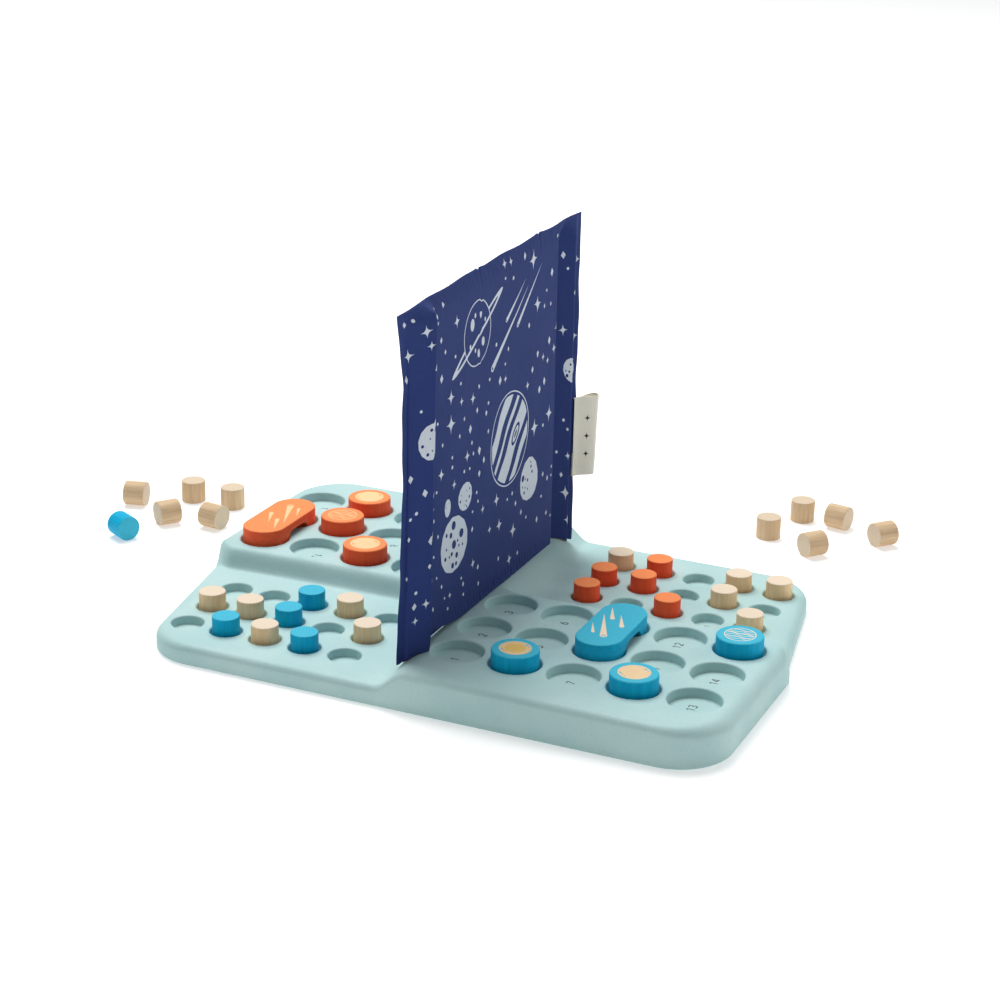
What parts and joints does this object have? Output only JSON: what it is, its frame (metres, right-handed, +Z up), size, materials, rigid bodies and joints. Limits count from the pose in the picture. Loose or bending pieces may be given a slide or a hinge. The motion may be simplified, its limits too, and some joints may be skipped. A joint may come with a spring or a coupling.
{
  "type": "fleet guessing case",
  "caption": "Two-player fleet guessing case: a moulded wood tray with stepped decks of round pockets, a cloth screen on slats between the players, wooden fleet pieces and marker pegs.",
  "frame": {"origin": "middle of the tray's underside, on the table", "axes": "+X along the tray, +Y across it along the screen, +Z up"},
  "size_m": [0.4633, 0.3722, 0.211],
  "materials": {
    "tray_composite": "matte moulded wood fibre, pale mint with fine speckle",
    "board": "plain grey board, hidden in the cloth",
    "slat_wood": "raw sanded wood",
    "screen_cloth": "navy cotton with pale star and planet print",
    "label_cloth": "unbleached cotton tape, blank",
    "blue_stained_wood": "satin water stain",
    "orange_stained_wood": "satin water stain",
    "natural_wood": "raw sanded wood"
  },
  "bodies": {
    "tray": {"tray": "tray_composite"},
    "screen": {"screen_board": "board", "screen_slat_front": "slat_wood", "screen_slat_back": "slat_wood", "screen_sleeve": "screen_cloth", "screen_label": "label_cloth"},
    "blue_planet_1": {"blue_planet_1": "blue_stained_wood"},
    "blue_planet_2": {"blue_planet_2": "blue_stained_wood"},
    "blue_planet_3": {"blue_planet_3": "blue_stained_wood"},
    "blue_meteor": {"blue_meteor": "blue_stained_wood"},
    "orange_planet_1": {"orange_planet_1": "orange_stained_wood"},
    "orange_planet_2": {"orange_planet_2": "orange_stained_wood"},
    "orange_planet_3": {"orange_planet_3": "orange_stained_wood"},
    "orange_meteor": {"orange_meteor": "orange_stained_wood"},
    "orange_peg_1": {"orange_peg_1": "orange_stained_wood"},
    "orange_peg_2": {"orange_peg_2": "orange_stained_wood"},
    "orange_peg_3": {"orange_peg_3": "orange_stained_wood"},
    "orange_peg_4": {"orange_peg_4": "orange_stained_wood"},
    "orange_peg_5": {"orange_peg_5": "orange_stained_wood"},
    "blue_peg_1": {"blue_peg_1": "blue_stained_wood"},
    "blue_peg_2": {"blue_peg_2": "blue_stained_wood"},
    "blue_peg_3": {"blue_peg_3": "blue_stained_wood"},
    "blue_peg_4": {"blue_peg_4": "blue_stained_wood"},
    "blue_peg_5": {"blue_peg_5": "blue_stained_wood"},
    "natural_peg_1": {"natural_peg_1": "natural_wood"},
    "natural_peg_2": {"natural_peg_2": "natural_wood"},
    "natural_peg_3": {"natural_peg_3": "natural_wood"},
    "natural_peg_4": {"natural_peg_4": "natural_wood"},
    "natural_peg_5": {"natural_peg_5": "natural_wood"},
    "natural_peg_6": {"natural_peg_6": "natural_wood"},
    "natural_peg_7": {"natural_peg_7": "natural_wood"},
    "natural_peg_8": {"natural_peg_8": "natural_wood"},
    "natural_peg_9": {"natural_peg_9": "natural_wood"},
    "natural_peg_10": {"natural_peg_10": "natural_wood"},
    "natural_peg_11": {"natural_peg_11": "natural_wood"},
    "natural_peg_12": {"natural_peg_12": "natural_wood"},
    "natural_peg_13": {"natural_peg_13": "natural_wood"},
    "natural_peg_14": {"natural_peg_14": "natural_wood"},
    "natural_peg_15": {"natural_peg_15": "natural_wood"},
    "natural_peg_16": {"natural_peg_16": "natural_wood"},
    "natural_peg_17": {"natural_peg_17": "natural_wood"},
    "natural_peg_18": {"natural_peg_18": "natural_wood"},
    "natural_peg_19": {"natural_peg_19": "natural_wood"},
    "natural_peg_20": {"natural_peg_20": "natural_wood"}
  },
  "joints": [
    {"name": "screen_lift", "type": "slide", "parent": "tray", "child": "screen", "axis": [0, 0, 1], "range_m": [0, 0.04]},
    {"name": "blue_planet_1_lift", "type": "slide", "parent": "tray", "child": "blue_planet_1", "axis": [0, 0, 1], "range_m": [0, 0.03]},
    {"name": "blue_planet_2_lift", "type": "slide", "parent": "tray", "child": "blue_planet_2", "axis": [0, 0, 1], "range_m": [0, 0.03]},
    {"name": "blue_planet_3_lift", "type": "slide", "parent": "tray", "child": "blue_planet_3", "axis": [0, 0, 1], "range_m": [0, 0.03]},
    {"name": "blue_meteor_lift", "type": "slide", "parent": "tray", "child": "blue_meteor", "axis": [0, 0, 1], "range_m": [0, 0.03]},
    {"name": "orange_planet_1_lift", "type": "slide", "parent": "tray", "child": "orange_planet_1", "axis": [0, 0, 1], "range_m": [0, 0.03]},
    {"name": "orange_planet_2_lift", "type": "slide", "parent": "tray", "child": "orange_planet_2", "axis": [0, 0, 1], "range_m": [0, 0.03]},
    {"name": "orange_planet_3_lift", "type": "slide", "parent": "tray", "child": "orange_planet_3", "axis": [0, 0, 1], "range_m": [0, 0.03]},
    {"name": "orange_meteor_lift", "type": "slide", "parent": "tray", "child": "orange_meteor", "axis": [0, 0, 1], "range_m": [0, 0.03]},
    {"name": "orange_peg_1_lift", "type": "slide", "parent": "tray", "child": "orange_peg_1", "axis": [0, 0, 1], "range_m": [0, 0.03]},
    {"name": "orange_peg_2_lift", "type": "slide", "parent": "tray", "child": "orange_peg_2", "axis": [0, 0, 1], "range_m": [0, 0.03]},
    {"name": "orange_peg_3_lift", "type": "slide", "parent": "tray", "child": "orange_peg_3", "axis": [0, 0, 1], "range_m": [0, 0.03]},
    {"name": "orange_peg_4_lift", "type": "slide", "parent": "tray", "child": "orange_peg_4", "axis": [0, 0, 1], "range_m": [0, 0.03]},
    {"name": "orange_peg_5_lift", "type": "slide", "parent": "tray", "child": "orange_peg_5", "axis": [0, 0, 1], "range_m": [0, 0.03]},
    {"name": "blue_peg_1_lift", "type": "slide", "parent": "tray", "child": "blue_peg_1", "axis": [0, 0, 1], "range_m": [0, 0.03]},
    {"name": "blue_peg_2_lift", "type": "slide", "parent": "tray", "child": "blue_peg_2", "axis": [0, 0, 1], "range_m": [0, 0.03]},
    {"name": "blue_peg_3_lift", "type": "slide", "parent": "tray", "child": "blue_peg_3", "axis": [0, 0, 1], "range_m": [0, 0.03]},
    {"name": "blue_peg_4_lift", "type": "slide", "parent": "tray", "child": "blue_peg_4", "axis": [0, 0, 1], "range_m": [0, 0.03]},
    {"name": "blue_peg_5_lift", "type": "slide", "parent": "tray", "child": "blue_peg_5", "axis": [0, 0, 1], "range_m": [0, 0.03]},
    {"name": "natural_peg_1_lift", "type": "slide", "parent": "tray", "child": "natural_peg_1", "axis": [0, 0, 1], "range_m": [0, 0.03]},
    {"name": "natural_peg_2_lift", "type": "slide", "parent": "tray", "child": "natural_peg_2", "axis": [0, 0, 1], "range_m": [0, 0.03]},
    {"name": "natural_peg_3_lift", "type": "slide", "parent": "tray", "child": "natural_peg_3", "axis": [0, 0, 1], "range_m": [0, 0.03]},
    {"name": "natural_peg_4_lift", "type": "slide", "parent": "tray", "child": "natural_peg_4", "axis": [0, 0, 1], "range_m": [0, 0.03]},
    {"name": "natural_peg_5_lift", "type": "slide", "parent": "tray", "child": "natural_peg_5", "axis": [0, 0, 1], "range_m": [0, 0.03]},
    {"name": "natural_peg_6_lift", "type": "slide", "parent": "tray", "child": "natural_peg_6", "axis": [0, 0, 1], "range_m": [0, 0.03]},
    {"name": "natural_peg_7_lift", "type": "slide", "parent": "tray", "child": "natural_peg_7", "axis": [0, 0, 1], "range_m": [0, 0.03]},
    {"name": "natural_peg_8_lift", "type": "slide", "parent": "tray", "child": "natural_peg_8", "axis": [0, 0, 1], "range_m": [0, 0.03]},
    {"name": "natural_peg_9_lift", "type": "slide", "parent": "tray", "child": "natural_peg_9", "axis": [0, 0, 1], "range_m": [0, 0.03]},
    {"name": "natural_peg_10_lift", "type": "slide", "parent": "tray", "child": "natural_peg_10", "axis": [0, 0, 1], "range_m": [0, 0.03]},
    {"name": "natural_peg_11_lift", "type": "slide", "parent": "tray", "child": "natural_peg_11", "axis": [0, 0, 1], "range_m": [0, 0.03]},
    {"name": "natural_peg_12_lift", "type": "slide", "parent": "tray", "child": "natural_peg_12", "axis": [0, 0, 1], "range_m": [0, 0.03]},
    {"name": "natural_peg_13_lift", "type": "slide", "parent": "tray", "child": "natural_peg_13", "axis": [0, 0, 1], "range_m": [0, 0.03]},
    {"name": "natural_peg_14_lift", "type": "slide", "parent": "tray", "child": "natural_peg_14", "axis": [0, 0, 1], "range_m": [0, 0.03]},
    {"name": "natural_peg_15_lift", "type": "slide", "parent": "tray", "child": "natural_peg_15", "axis": [0, 0, 1], "range_m": [0, 0.03]},
    {"name": "natural_peg_16_lift", "type": "slide", "parent": "tray", "child": "natural_peg_16", "axis": [0, 0, 1], "range_m": [0, 0.03]},
    {"name": "natural_peg_17_lift", "type": "slide", "parent": "tray", "child": "natural_peg_17", "axis": [0, 0, 1], "range_m": [0, 0.03]},
    {"name": "natural_peg_18_lift", "type": "slide", "parent": "tray", "child": "natural_peg_18", "axis": [0, 0, 1], "range_m": [0, 0.03]},
    {"name": "natural_peg_19_lift", "type": "slide", "parent": "tray", "child": "natural_peg_19", "axis": [0, 0, 1], "range_m": [0, 0.03]},
    {"name": "natural_peg_20_lift", "type": "slide", "parent": "tray", "child": "natural_peg_20", "axis": [0, 0, 1], "range_m": [0, 0.03]}
  ]
}
